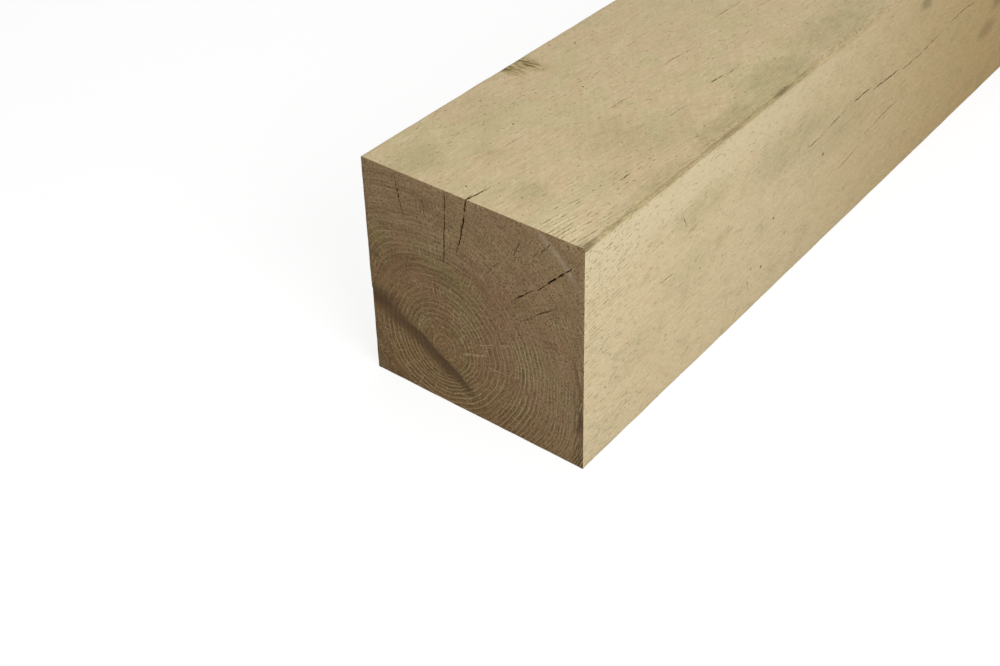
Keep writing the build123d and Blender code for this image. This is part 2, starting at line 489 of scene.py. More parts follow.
# The faces of the post: a point on each, its outward direction, and which axis is measured across a long face
FACES = {
    "near_end": (Vector((0, NEAR_Y, 0)), Vector((0, -1, 0)), None),
    "far_end": (Vector((0, FAR_Y, 0)), Vector((0, 1, 0)), None),
    "top": (Vector((0, NEAR_Y, HEIGHT)), Vector((0, 0, 1)), Vector((1, 0, 0))),
    "bottom": (Vector((0, NEAR_Y, 0)), Vector((0, 0, -1)), Vector((1, 0, 0))),
    "right": (Vector((HALF_WIDTH, NEAR_Y, 0)), Vector((1, 0, 0)), Vector((0, 0, 1))),
    "left": (Vector((-HALF_WIDTH, NEAR_Y, 0)), Vector((-1, 0, 0)), Vector((0, 0, 1))),
}


def on_face(face, point):
    """A place on a face, from the two millimetre values that its routes are written in."""
    origin, _, across = FACES[face]
    a, b = point
    if across is None:
        return origin + Vector((a, 0, b)) * MM
    return origin + (Vector((0, a, 0)) + across * b) * MM


def along_route(route, share):
    """The point at a share of the way along a route."""
    place = share * (len(route) - 1)
    i = min(int(place), len(route) - 2)
    return route[i].lerp(route[i + 1], place - i)


def check_cutter(face, route, gape, depth, draw):
    """One check's cutter: a thin section drawn along the route, with uneven width, closing at both tips."""
    _, out, across = FACES[face]
    points = [on_face(face, p) for p in route]
    run = points[-1] - points[0]
    along = run.normalized()
    if across is not None:
        # In a long face it leans towards the pith, as it follows a ray
        middle = sum(points, Vector()) / len(points)
        from_pith = middle - Vector((PITH_X * MM, middle.y, PITH_Z * MM))
        out = (from_pith - along * from_pith.dot(along)).normalized()
    side = out.cross(along)
    opens = any(from_face(points[0]) < 0 for from_face in (from_side, from_flat, from_end))
    count = min(MOST_STEPS, round(run.length / (CHECK_STEP * MM)))
    jumps = max(1, round(run.length / (CHECK_RUN * MM)))
    aside = [draw.uniform(-1, 1) * CHECK_JUMP * MM for _ in range(jumps + 1)]
    local = [Vector(((p - points[0]).dot(along), (p - points[0]).dot(side), 0)) for p in points]

    bpy.ops.mesh.primitive_plane_add(size=1, rotation=(0, math.pi / 2, 0))
    cutter = bpy.context.active_object
    bpy.ops.object.transform_apply(location=False, rotation=True, scale=False)
    with edit_mode(cutter):
        bpy.ops.mesh.select_all(action="SELECT")
        bpy.ops.transform.translate(value=(0, 0, -0.5))
        bpy.ops.transform.resize(value=(1, gape * MM, (depth + PROUD) * MM), center_override=(0, 0, 0))
        pick(cutter, "VERT", lambda v: v.co.z < -1e-4)
        bpy.ops.transform.resize(value=(1, ROOT_SHARE, 1), center_override=(0, 0, 0))
        bpy.ops.mesh.select_all(action="SELECT")
        bpy.ops.transform.translate(value=(0, 0, PROUD * MM))
        top = Vector((0, 0, PROUD * MM))
        width, fall = 1.0, 1.0
        place = Vector((0, 0, 0))
        for i in range(count + 1):
            share = i / count
            closing = math.sin(math.pi * (TIP_CUT + (1 - 2 * TIP_CUT) * share)) ** 0.5
            new_fall = max(TIP_DEPTH, closing)
            if opens and share < 0.5:
                closing = 1.0
                new_fall = OPEN_DEPTH + (1 - OPEN_DEPTH) * 2 * share
            new_width = max(TIP_WIDTH, closing * draw.choice(CHECK_WIDTHS))
            new_place = along_route(local, share)
            if 0 < i < count:
                new_place.y += aside[int(share * jumps)] + draw.uniform(-1, 1) * CHECK_WANDER * MM
            if i:
                bpy.ops.mesh.extrude_region_move(TRANSFORM_OT_translate={"value": new_place - place})
            else:
                bpy.ops.transform.translate(value=new_place - place)
            ratio = (1, new_width / width, new_fall / fall)
            bpy.ops.transform.resize(value=ratio, center_override=top + new_place)
            width, fall, place = new_width, new_fall, new_place
        bpy.ops.mesh.select_all(action="SELECT")
        bpy.ops.mesh.normals_make_consistent(inside=False)
    cutter.matrix_world = Matrix.Translation(points[0]) @ Matrix((along, side, out)).transposed().to_4x4()
    activate(cutter)
    bpy.ops.object.transform_apply(location=True, rotation=True, scale=True)
    return cutter


def pin_hole_cutter(face, point, width, depth, draw):
    """A beetle's exit hole: a short narrowing shaft."""
    out = FACES[face][1]
    place = on_face(face, point) + out * (PROUD - depth) / 2 * MM
    bottom, mouth = HOLE_RADII
    bpy.ops.mesh.primitive_cone_add(
        vertices=HOLE_SIDES,
        radius1=width * bottom * MM,
        radius2=width * mouth * MM,
        depth=(depth + PROUD) * MM,
        location=place,
        rotation=out.to_track_quat("Z", "Y").to_euler(),
    )
    cutter = bpy.context.active_object
    bpy.ops.object.transform_apply(location=True, rotation=True, scale=True)
    with edit_mode(cutter):
        bpy.ops.mesh.select_all(action="SELECT")
        stretch = [1 + draw.uniform(*HOLE_STRETCH) for _ in range(3)]
        bpy.ops.transform.resize(value=stretch, center_override=place)
    return cutter


def wane_cutter():
    """All that lies outside the log near the top right arris: its surface there, swept about the pith."""
    arris = Vector((HALF_WIDTH - PITH_X * MM, HEIGHT - PITH_Z * MM))
    start = math.atan2(arris.y, arris.x) - math.radians(WANE_REACH)
    heading = Vector((math.cos(start), 0, math.sin(start)))
    pith = Vector((PITH_X * MM, 0, PITH_Z * MM))
    stations = [(y, r) for y, r in LOG_STATIONS if WANE_RUN[0] < y < WANE_RUN[1]]
    bpy.ops.mesh.primitive_plane_add(size=2 * MM)
    cutter = bpy.context.active_object
    with edit_mode(cutter):
        pick(cutter, "VERT", lambda v: v.co.x < 0 or v.co.y < 0)
        bpy.ops.mesh.delete(type="VERT")
        bpy.ops.mesh.select_all(action="SELECT")
        place = Vector((MM, MM, 0))
        for i, (y, radius) in enumerate(stations):
            new_place = pith + heading * radius * MM + Vector((0, y * MM, 0))
            if i:
                bpy.ops.mesh.extrude_vertices_move(TRANSFORM_OT_translate={"value": new_place - place})
            else:
                bpy.ops.transform.translate(value=new_place - place)
            place = new_place
        bpy.ops.mesh.select_all(action="SELECT")
        bpy.ops.mesh.subdivide(number_cuts=WANE_CUTS)
        bpy.ops.mesh.spin(steps=WANE_STEPS, angle=2 * math.radians(WANE_REACH), center=pith, axis=(0, 1, 0))
    roughen(cutter, (9, 34, 9), WANE_RELIEF * MM, 2, proud=0.5)
    with edit_mode(cutter):
        bpy.ops.mesh.select_all(action="SELECT")
        bpy.ops.mesh.extrude_region_move()
        bpy.ops.transform.resize(value=(WANE_OUT, 1, WANE_OUT), center_override=pith)
        bpy.ops.mesh.select_all(action="SELECT")
        bpy.ops.mesh.normals_make_consistent(inside=False)
    return cutter


def saw_step_cutter(depth):
    """What the second saw pass took off: a shallow wedge below the step line, in columns that follow it."""
    line = [Vector(p) for p in SAW_STEP_LINE]
    shares = [Vector((share, 0)) for share in SAW_STEP_SHARE]
    (left, high), (right, _) = line[0], line[-1]
    bpy.ops.mesh.primitive_cube_add(size=1)
    bite = bpy.context.active_object
    with edit_mode(bite):
        for axis, cells in ((0, STEP_COLUMNS), (2, STEP_ROWS)):
            pick(bite, "EDGE", runs_along(axis))
            bpy.ops.mesh.subdivide(number_cuts=cells - 1)
        for i in range(STEP_COLUMNS + 1):
            on_line = along_route(line, i / STEP_COLUMNS)
            x = on_line.x - (STEP_MARGIN if i == 0 else 0)
            full = depth / MM * along_route(shares, i / STEP_COLUMNS).x
            slope = STEP_SLOPE * (1 + PROUD / full)
            for k in range(STEP_ROWS + 1):
                z = -STEP_MARGIN + (on_line.y + STEP_MARGIN) * k / STEP_ROWS
                fall = full * ((x - left) / (right - left) + z / high)
                for inset, y, rise in ((0.5, fall, 0.0), (-0.5, -PROUD, slope if k == STEP_ROWS else 0.0)):
                    start = Vector((i / STEP_COLUMNS - 0.5, inset, k / STEP_ROWS - 0.5))
                    pick(bite, "VERT", lambda v: (v.co - start).length < 1e-3)
                    bpy.ops.transform.translate(value=Vector((x, NEAR_Y / MM + y, z + rise)) - start)
        bpy.ops.mesh.select_all(action="SELECT")
        bpy.ops.transform.resize(value=(MM, MM, MM), center_override=(0, 0, 0))
        bpy.ops.mesh.normals_make_consistent(inside=False)
    return bite


def joined(pieces):
    """Several objects as one."""
    bpy.ops.object.select_all(action="DESELECT")
    for piece in pieces:
        piece.select_set(True)
    bpy.context.view_layer.objects.active = pieces[0]
    bpy.ops.object.join()
    return pieces[0]


def cut(post, cutter, finish):
    """Takes a cutter out of the post, leaves its finish on the new surface, and removes it."""
    cutter.data.materials.clear()
    cutter.data.materials.append(finish)
    activate(post)
    modifier = post.modifiers.new("cut", "BOOLEAN")
    modifier.operation = "DIFFERENCE"
    modifier.object = cutter
    modifier.solver = "EXACT"
    modifier.material_mode = "TRANSFER"
    bpy.ops.object.modifier_apply(modifier=modifier.name)
    bpy.data.objects.remove(cutter)


# The rings in the near end, from the pith out: radius in millimetres, and rings counted so far
RING_COUNTS = [
    (0, 0), (3, 1), (5.5, 2), (8.5, 3), (13, 4), (18, 5), (20.8, 6), (23.9, 7), (26.7, 8), (29.5, 9),
    (32.3, 10), (35, 11), (38.9, 12), (42.6, 13), (46.4, 14), (54, 16), (56, 17), (58.3, 18), (60.8, 19),
    (63.9, 20), (67, 21), (80, 26), (100, 36), (125, 48), (160, 60),
]
# How clearly the rings show, by radius in millimetres
RING_CLARITY = [
    (0, 0.3), (3, 0.7), (9, 0.7), (11, 0.15), (17, 0.25), (19, 0.8), (46, 1), (48.5, 0.35), (54, 0.35),
    (56, 1), (68, 1), (74, 0.6), (82, 0.55), (98, 0.75), (112, 0.45), (125, 0.35), (160, 0.2),
]
# Where the lists end. A node's curve runs from 0 to 1, so radii and counts are divided by these.
OUTSIDE_RADIUS, OUTSIDE_COUNT = RING_COUNTS[-1]

# One ring from its start: a pale line, then a belt of large dark pores, then plain wood
RING_PALE = [(0, 0.3), (0.06, 1), (0.17, 0.9), (0.26, 0.1), (0.5, 0), (1, 0)]
RING_PORES = [(0, 0.35), (0.05, 0), (0.22, 0.05), (0.34, 1), (0.6, 0.85), (0.78, 0.2), (1, 0.35)]

# Rows of pores in a ring's belt, for each radian and each year that the tree had grown
POROUS_ROWS = 1.8

# Rays: how far one runs before it stops, how tall it stands along the fibres, and how far apart the pale and
# the dark ones are, in millimetres
RAY_LENGTH = 13.0
RAY_HEIGHT = 35.0
PALE_RAYS_APART = 2.6
DARK_RAYS_APART = 1.7

# Pores are 0.3 mm across. They are drawn at twice that, and this far apart, or they wouldn't show.
PORES_APART = 1.7

# The broken dark lines in the sawn faces: how far apart they lie, and how long a piece is, in millimetres
LINES_APART = 2.5
LINE_PIECE = 6.0


def group_of(name, vectors, numbers, outputs):
    """A new node group with vector inputs, then number inputs, and number outputs."""
    tree = bpy.data.node_groups.new(name, "ShaderNodeTree")
    sockets = [(v, "INPUT", "NodeSocketVector") for v in vectors]
    sockets += [(n, "INPUT", "NodeSocketFloat") for n in numbers]
    sockets += [(o, "OUTPUT", "NodeSocketFloat") for o in outputs]
    for label, side, kind in sockets:
        tree.interface.new_socket(name=label, in_out=side, socket_type=kind)
    return tree


def drift(node, place, spread, reach, *texture):
    """How far a place moves aside: up to half of a reach, in bulges of a spread, all in millimetres."""
    bulges = node(NOISE, node(VECTOR_OVER, place, spread), 1.0, *texture).outputs["Color"]
    return node(VECTOR_TIMES, node(VECTOR_MINUS, bulges, (0.5,) * 3), reach)


def growth_group():
    """Where a point of the post lies in the tree that it grew in, from its place in millimetres."""
    tree = group_of("growth", ["Place"], [], ["Radius", "Ring", "Turn", "Along", "Year"])
    node = partial(add, tree)
    place = node(GROUP_INPUT)
    _, y, _ = node(SEPARATE, place).outputs
    along = node(MINUS, y, NEAR_Y / MM)
    # The pith wanders a few millimetres along the post
    pith_x = node(PLUS, node(TIMES, node(SINE, node(OVER, along, 260.0)), 6.0), PITH_X)
    pith_z = node(PLUS, node(TIMES, node(SINE, node(OVER, along, 370.0)), 5.0), PITH_Z)
    # Rings are never round: they have broad swells over 60 mm, and small ones over 13 mm
    grown = node(VECTOR_MINUS, place, node(COMBINE, pith_x, 0.0, pith_z))
    grown = node(VECTOR_PLUS, grown, drift(node, place, (60, 260, 60), (9,) * 3, 1.0))
    grown = node(VECTOR_PLUS, grown, drift(node, place, (13, 90, 13), (2.2,) * 3, 1.0))
    x, _, z = node(SEPARATE, grown).outputs
    # They lie flatter towards the upper left, and wider apart there
    flatten = node(TIMES, node(LEAST, x, 0.0), node(RAMP, z, 30.0, 100.0, 0.0, 0.3))
    x = node(MINUS, x, flatten)
    spread = node(LENGTH_OF, node(COMBINE, x, 0.0, z)).outputs["Value"]
    bulge = node(DOT, node(COMBINE, x, 0.0, z), (-0.045, 0, 0.0535)).outputs["Value"]
    radius = node(MINUS, spread, bulge)
    counted = [(r / OUTSIDE_RADIUS, n / OUTSIDE_COUNT) for r, n in RING_COUNTS]
    count = node(TIMES, node(CURVE, 1.0, node(OVER, radius, OUTSIDE_RADIUS), points=counted), OUTSIDE_COUNT)
    node(GROUP_OUTPUT, radius, node(FRACTION, count), node(TURN_OF, z, x), along, node(FLOOR, count))
    return tree


def rays_group():
    """Medullary rays: thin radial sheets that start and stop, some millimetres apart."""
    tree = group_of("rays", [], ["Radius", "Turn", "Along", "Apart", "Share"], ["Rays"])
    node = partial(add, tree)
    radius, turn, along, apart, share = node(GROUP_INPUT).outputs[:5]
    storey = node(FLOOR, node(OVER, node(PLUS, along, 14.0), RAY_HEIGHT))
    # The radius is counted in blocks one ray long, and in each sector round the pith they start elsewhere
    sector = node(FLOOR, node(TIMES, turn, 7.0))
    shift = node(TIMES, node(CHANCE, node(COMBINE, sector, storey, apart)), RAY_LENGTH)
    blocks = node(OVER, node(PLUS, radius, shift), RAY_LENGTH)
    block = node(FLOOR, blocks)
    middle = node(MOST, 5.0, node(MINUS, node(TIMES, node(PLUS, block, 0.5), RAY_LENGTH), shift))
    spoke = node(OVER, node(TIMES, turn, middle), apart)
    aside = node(TIMES, node(SIZE_OF, node(MINUS, node(FRACTION, spoke), 0.5)), apart)
    line = node(RAMP, aside, 0.1, 0.34, 1.0, 0.0)
    chance = node(CHANCE, node(COMBINE, node(FLOOR, spoke), block, storey))
    there = node(RAMP, chance, node(MINUS, 1.0, share), node(MINUS, 1.15, share))
    first, last, _ = node(SEPARATE, chance.outputs["Color"]).outputs
    run = node(FRACTION, blocks)
    starts = node(RAMP, node(MINUS, run, node(TIMES, first, 0.5)), -0.04, 0.04)
    stops = node(RAMP, node(PLUS, run, node(TIMES, last, 0.5)), 0.96, 1.04, 1.0, 0.0)
    node(GROUP_OUTPUT, node(TIMES, node(TIMES, line, there), node(TIMES, starts, stops)))
    return tree


def patch_group():
    """A stain's share at a place: full in the middle of an ellipsoid, and fading out at its edge."""
    tree = group_of("stain", ["Place", "Middle", "Reach"], [], ["Share"])
    node = partial(add, tree)
    place, middle, reach = node(GROUP_INPUT).outputs[:3]
    away = node(LENGTH_OF, node(VECTOR_OVER, node(VECTOR_MINUS, place, middle), reach)).outputs["Value"]
    node(GROUP_OUTPUT, node(RAMP, away, 0.3, 1.3, 1.0, 0.0))
    return tree


def stroke_group():
    """A stroke's share at a place: full along the line between two points, and fading out at its width."""
    tree = group_of("stroke", ["Place", "Start", "End"], ["Width"], ["Share"])
    node = partial(add, tree)
    place, start, end, width = node(GROUP_INPUT).outputs[:4]
    away = node(VECTOR_MINUS, place, start)
    run = node(VECTOR_MINUS, end, start)
    share = node(OVER, node(DOT, away, run).outputs["Value"], node(DOT, run, run).outputs["Value"])
    nearest = node(VECTOR_TIMES, run, node(LEAST, node(MOST, share, 0.0), 1.0))
    gap = node(LENGTH_OF, node(VECTOR_MINUS, away, nearest)).outputs["Value"]
    node(GROUP_OUTPUT, node(RAMP, gap, node(TIMES, width, 0.3), width, 1.0, 0.0))
    return tree


# Stains: middle in X, distance from the near end and Z, reach by axis, in millimetres, and strength
GREEN_STAINS = [
    ((22, 26, 149), (9, 13, 8), 0.6),
    ((28, 100, 149), (26, 26, 8), 0.55),
    ((46, 118, 149), (24, 34, 8), 0.45),
    ((-22, 46, 149), (12, 9, 8), 0.55),
    ((-48, 16, 149), (18, 20, 8), 0.5),
    ((-50, 78, 149), (16, 26, 8), 0.3),
    ((50, 62, 149), (12, 16, 8), 0.35),
    ((68, 78, 149), (8, 24, 8), 0.55),
    ((66, 152, 149), (11, 46, 8), 0.85),
    ((62, 217, 149), (15, 44, 8), 0.8),
    ((58, 303, 149), (18, 66, 8), 0.7),
    ((56, 435, 149), (22, 90, 8), 0.5),
    ((76, 113, 114), (8, 34, 13), 0.6),
    ((76, 222, 104), (8, 60, 18), 0.65),
    ((76, 291, 83), (8, 64, 18), 0.4),
    ((76, 50, 52), (8, 26, 14), 0.35),
    ((76, 105, 77), (8, 34, 16), 0.35),
    ((-76, 900, 90), (8, 300, 30), 0.5),
    ((10, 1200, 0), (40, 400, 8), 0.5),
]
KNOT_STAINS = [
    ((-73, 128, 149), (14, 6, 9), 1.0),
    ((-70, 139.5, 149), (17, 8, 9), 1.0),
]
DARK_STAINS = [
    ((75.6, 3, 148.5), (4, 9, 2.5), 0.8),
    ((75.6, 141, 149), (3, 12, 2), 0.5),
    ((75.2, 202, 149), (3, 12, 2), 0.8),
    ((76, 407, 128.8), (6, 12, 7), 0.65),
    ((76, 539, 55.5), (7, 18, 8), 0.5),
    ((76, 555, 74.3), (7, 14, 7), 0.6),
]
END_STAINS = [
    ((-29.4, 0, 134.4), (6, 40, 4), 0.25),
    ((-22.4, 0, 130.4), (5, 40, 2), 0.25),
    ((-68, 0, 56), (16, 40, 8), 0.7),
    ((-55, 0, 47), (12, 40, 7), 0.4),
    ((22, 0, 139.8), (2, 40, 2), 0.4),
    ((-70.1, 0, 85), (3, 40, 3), 0.5),
]

# Rays and marks that stand out in the near end: start and end in X and Z, and width, in millimetres
PALE_STROKES = [
    ((-7.4, 42), (9, 48.5), 0.9),
    ((2, 53), (14, 58.5), 0.5),
    ((19, 60.5), (31, 66), 0.5),
    ((-13, 72), (-14.5, 61), 0.5),
    ((-8, 72), (-9.5, 66), 0.5),
    ((-36, 56), (-40, 48), 0.7),
    ((-53, 12.5), (-46, 19), 0.6),
    ((-43, 4), (-39.5, 10), 0.6),
    ((10, 41), (25.5, 42), 0.5),
    ((-36.5, 106), (-36, 99), 0.6),
    ((-25.6, 101), (-25, 96), 0.6),
]
BROWN_STROKES = [
    ((49, 77.5), (57, 79), 0.9),
    ((49, 73.6), (56.5, 76.5), 1.0),
    ((57.5, 74.5), (58, 78.5), 0.8),
    ((50, 36), (56, 38.5), 1.0),
    ((53, 40.5), (57.5, 41.5), 0.8),
    ((56.6, 26.6), (57.4, 27.4), 1.0),
    ((24.6, 139.6), (25.4, 140.4), 1.1),
    ((-57, 77), (-54.5, 72), 0.7),
]


def wood_place(node):
    """Place in the post in millimetres."""
    return node(VECTOR_TIMES, node(COORDINATES).outputs["Object"], (1 / MM,) * 3)


def stained(node, patch, place, stains, spread, reach):
    """How stained a place is, from the strongest of the stains that get there. Their outlines bulge."""
    place = node(VECTOR_PLUS, place, drift(node, place, spread, reach, 3.0, 0.6))
    total = 0.0
    for (x, along, z), size, strength in stains:
        share = node(patch, place, (x, along + NEAR_Y / MM, z), size)
        total = node(MOST, total, node(TIMES, share, strength))
    return total


def drawn(node, stroke, flat, strokes):
    """How far a place in the near end is covered by the strongest of the strokes there."""
    total = 0.0
    for (x0, z0), (x1, z1), width in strokes:
        total = node(MOST, total, node(stroke, flat, (x0, z0, 0), (x1, z1, 0), width))
    return total


def new_material(name):
    """An empty material, and the function that adds a node to it."""
    finish = bpy.data.materials.new(name)
    finish.use_nodes = True
    finish.node_tree.nodes.clear()
    return finish, partial(add, finish.node_tree)


def painted(node, colour, *coats):
    """A colour with coats laid over it in turn. A coat is how far it covers, and its colour."""
    for share, shade in coats:
        colour = node(BLEND, share, colour, linear(shade))
    return colour


def matt_wood(node, colour, rough, height, shine=0.25):
    """Bare wood: matt, hardly shiny, with a relief in millimetres."""
    bump = node(BUMP, Strength=1.0, Distance=MM, Height=height)
    surface = node(SURFACE, Base_Color=colour, Roughness=rough, Specular_IOR_Level=shine, Normal=bump)
    node(MATERIAL_OUTPUT, surface)


def end_grain(growth, rays, patch, stroke):
    """Cross-cut oak, dried and a little furred: brown and matt, with belts of dark pores between pale lines,
    and a net of short pale rays across them."""
    finish, node = new_material("cross-cut oak")
    place = wood_place(node)
    radius, ring, turn, along, year = node(growth, place).outputs
    x, _, z = node(SEPARATE, place).outputs
    # The pattern hardly changes along the fibres, so it is drawn flat
    flat = node(COMBINE, node(PLUS, x, node(TIMES, along, 0.05)), z, 0.0)
    broad = node(FLAT_NOISE, node(VECTOR_OVER, flat, (30,) * 3), 1.0, 2.0, 0.5)
    mottle = node(FLAT_NOISE, node(VECTOR_OVER, flat, (10,) * 3), 1.0, 4.0, 0.6)
    speck = node(FLAT_NOISE, node(VECTOR_OVER, flat, (1.5,) * 3), 1.0, 3.0, 0.7)
    # Fine lines and broad belts that follow the rings
    fine = node(FLAT_NOISE, node(COMBINE, node(OVER, radius, 1.1), node(TIMES, turn, 5.0)), 1.0, 2.0, 0.6)
    belt = node(FLAT_NOISE, node(COMBINE, node(OVER, radius, 5.5), node(TIMES, turn, 1.1)), 1.0, 2.0, 0.6)
    # Where the ring lines show: best low down on the right, least towards the top, and patchy
    shown = [(r / OUTSIDE_RADIUS, c) for r, c in RING_CLARITY]
    clarity = node(CURVE, 1.0, node(OVER, radius, OUTSIDE_RADIUS), points=shown)
    upper = node(RAMP, node(MINUS, z, node(TIMES, x, 0.5)), 55.0, 100.0)
    upper_right = node(RAMP, node(PLUS, node(TIMES, x, 0.72), node(TIMES, z, 0.69)), 58.0, 92.0)
    hidden = node(LEAST, node(PLUS, node(TIMES, upper, 0.6), node(TIMES, upper_right, 0.6)), 0.85)
    patchy = node(RAMP, broad, 0.32, 0.55, 0.45, 1.0)
    clarity = node(TIMES, clarity, patchy)
    beads = node(RAMP, speck, 0.3, 0.6, 0.35, 1.0)
    plain = node(TIMES, clarity, node(MINUS, 1.0, hidden))
    pale = node(TIMES, node(CURVE, 1.0, ring, points=RING_PALE), plain)
    dots = node(FLAT_CELLS, node(VECTOR_OVER, flat, (PORES_APART,) * 3), 1.0).outputs["Distance"]
    dots = node(RAMP, dots, 0.16, 0.42, 1.0, 0.0)
    # In each belt the pores stand in short radial rows, with gaps between
    rows = node(TIMES, turn, node(TIMES, year, POROUS_ROWS))
    chance = node(CHANCE, node(COMBINE, node(FLOOR, rows), year, 0.0))
    aside, _, _ = node(SEPARATE, chance.outputs["Color"]).outputs
    aside = node(SIZE_OF, node(MINUS, node(FRACTION, rows), node(PLUS, 0.3, node(TIMES, aside, 0.4))))
    tick = node(TIMES, node(RAMP, aside, 0.1, 0.3, 1.0, 0.0), node(RAMP, chance, 0.35, 0.75))
    porous = node(TIMES, node(CURVE, 1.0, ring, points=RING_PORES), node(RAMP, mottle, 0.42, 0.58, 0.1, 1.0))
    tick = node(TIMES, tick, node(TIMES, porous, node(RAMP, radius, 6.0, 20.0)))
    belts = node(TIMES, porous, node(TIMES, clarity, node(MINUS, 1.0, node(TIMES, hidden, 0.8))))
    pores = node(PLUS, node(TIMES, belts, node(RAMP, dots, 0.0, 1.0, 0.3, 0.9)), node(TIMES, dots, 0.25))
    # Rays: pale ones make a net with the rings near the pith, and dark ones cross the outer wood
    netted = node(RAMP, mottle, 0.4, 0.55, 0.2, 1.0)
    net = node(TIMES, node(RAMP, radius, 9.0, 16.0), node(RAMP, radius, 60.0, 90.0, 1.0, 0.35))
    pale_rays = node(rays, radius, turn, along, PALE_RAYS_APART, 0.45)
    pale_rays = node(TIMES, pale_rays, node(TIMES, net, netted))
    dark_rays = node(rays, radius, turn, along, DARK_RAYS_APART, 0.5)
    dark_rays = node(TIMES, dark_rays, node(RAMP, radius, 50.0, 75.0, 0.25, 1.0))
    # Reddish and olive areas of the dried wood. Paler at the top and right, darker low down on the left
    colour = node(BLEND, node(RAMP, broad, 0.4, 0.6), linear("#987757"), linear("#8d7d51"))
    lit = node(MOST, node(RAMP, z, 90.0, 115.0, 0.0, 0.75), node(RAMP, x, 15.0, 50.0, 0.0, 0.6))
    lower_left = node(RAMP, node(PLUS, node(TIMES, x, 0.6), z), -20.0, 95.0, 0.85, 0.0)
    left = node(RAMP, node(MINUS, x, node(TIMES, z, 0.3)), -70.0, 20.0, 0.6, 0.15)
    left = node(TIMES, left, node(RAMP, z, 100.0, 125.0, 1.0, 0.5))
    colour = painted(
        node,
        colour,
        (lit, "#a58b67"),
        (lower_left, "#856736"),
        (node(RAMP, mottle, 0.35, 0.62, 0.45, 0.0), "#7b6041"),
        (node(TIMES, node(RAMP, belt, 0.42, 0.62), left), "#715639"),
    )
    # Fine lines and specks, rings, pores and rays
    lined = node(MINUS, 1.0, node(TIMES, hidden, 0.75))
    colour = painted(
        node,
        colour,
        (node(TIMES, lined, node(RAMP, fine, 0.5, 0.3, 0.0, 0.5)), "#644a2d"),
        (node(TIMES, lined, node(RAMP, fine, 0.5, 0.7, 0.0, 0.35)), "#b09874"),
        (node(RAMP, speck, 0.47, 0.24, 0.0, 0.9), "#523b25"),
        (node(RAMP, speck, 0.55, 0.8, 0.0, 0.7), "#bda47c"),
        (node(TIMES, node(TIMES, pale, beads), 0.78), "#c4ad84"),
        (node(TIMES, pores, 0.6), "#503a22"),
        (node(TIMES, tick, 0.65), "#443018"),
        (node(TIMES, dark_rays, 0.4), "#594229"),
        (node(TIMES, pale_rays, 0.5), "#c4ae86"),
    )
    # Strokes are worn through in specks
    worn = node(RAMP, speck, 0.35, 0.62, 0.1, 0.6)
    for strokes, shade in ((PALE_STROKES, "#c2ad83"), (BROWN_STROKES, "#61452a")):
        colour = painted(node, colour, (node(TIMES, drawn(node, stroke, flat, strokes), worn), shade))
    # Scorch and painted shadow along the saw's step: sharp above and soft below, and a soft blot at the left
    near = node(RAMP, along, 0.0, 60.0, 1.0, 0.0)
    (left_x, high_z), (right_x, _) = SAW_STEP_LINE[0], SAW_STEP_LINE[-1]
    line = [((px - left_x) / (right_x - left_x), pz / high_z) for px, pz in SAW_STEP_LINE]
    share = node(OVER, node(MINUS, x, left_x), right_x - left_x)
    above = node(TIMES, node(CURVE, 1.0, share, points=line), high_z)
    below = node(MINUS, above, z)
    ragged = node(TIMES, node(MINUS, mottle, 0.5), 9.0)
    deep = node(RAMP, x, -25.0, 5.0, 16.0, 7.0)
    burn_and_shadow_band = node(RAMP, node(PLUS, below, ragged), node(TIMES, deep, 0.3), deep, 1.0, 0.0)
    soft = node(RAMP, x, -60.0, -42.0, 6.0, 1.2)
    edge = node(RAMP, node(PLUS, below, node(TIMES, ragged, 0.2)), node(MINUS, 0.0, soft), soft)
    burn_and_shadow_band = node(TIMES, node(TIMES, burn_and_shadow_band, edge), node(TIMES, near, node(RAMP, x, -12.0, 9.0, 0.8, 0.0)))
    burn_and_shadow_colour = node(BLEND, node(RAMP, x, -66.0, -30.0), linear("#65482c"), linear("#503b23"))
    colour = node(BLEND, burn_and_shadow_band, colour, burn_and_shadow_colour)
    # Dark winter wood in fine lines along the lower right rim, in the lower left corner, and in a few marks
    rim = node(TIMES, node(RAMP, x, 67.0, 73.0), node(RAMP, z, 40.0, 100.0, 1.0, 0.25))
    corner = node(RAMP, node(PLUS, x, node(TIMES, z, 0.75)), -66.0, -42.0, 0.8, 0.0)
    lines = node(RAMP, fine, 0.58, 0.42, 0.2, 1.0)
    marks = stained(node, patch, place, END_STAINS, (4, 40, 4), (5, 0, 5))
    dim = node(TIMES, node(MOST, node(TIMES, node(MOST, rim, corner), lines), marks), near)
    # The edge of the sapwood shows as a pale grey line near the top right corner
    sap = node(TIMES, node(RAMP, radius, 118.5, 120.5), node(RAMP, radius, 122.0, 124.5, 1.0, 0.0))
    sap = node(TIMES, sap, node(RAMP, node(SIZE_OF, node(MINUS, x, 58.0)), 6.0, 16.0, 0.45, 0.0))
    colour = painted(node, colour, (node(TIMES, dim, 0.75), "#4a3421"), (sap, "#b3a28a"))
    height = node(PLUS, node(TIMES, speck, 0.35), node(TIMES, fine, 0.15))
    height = node(MINUS, height, node(TIMES, node(PLUS, pores, tick), 0.2))
    matt_wood(node, colour, node(RAMP, mottle, 0.2, 0.8, 0.78, 0.95), height)
    return finish


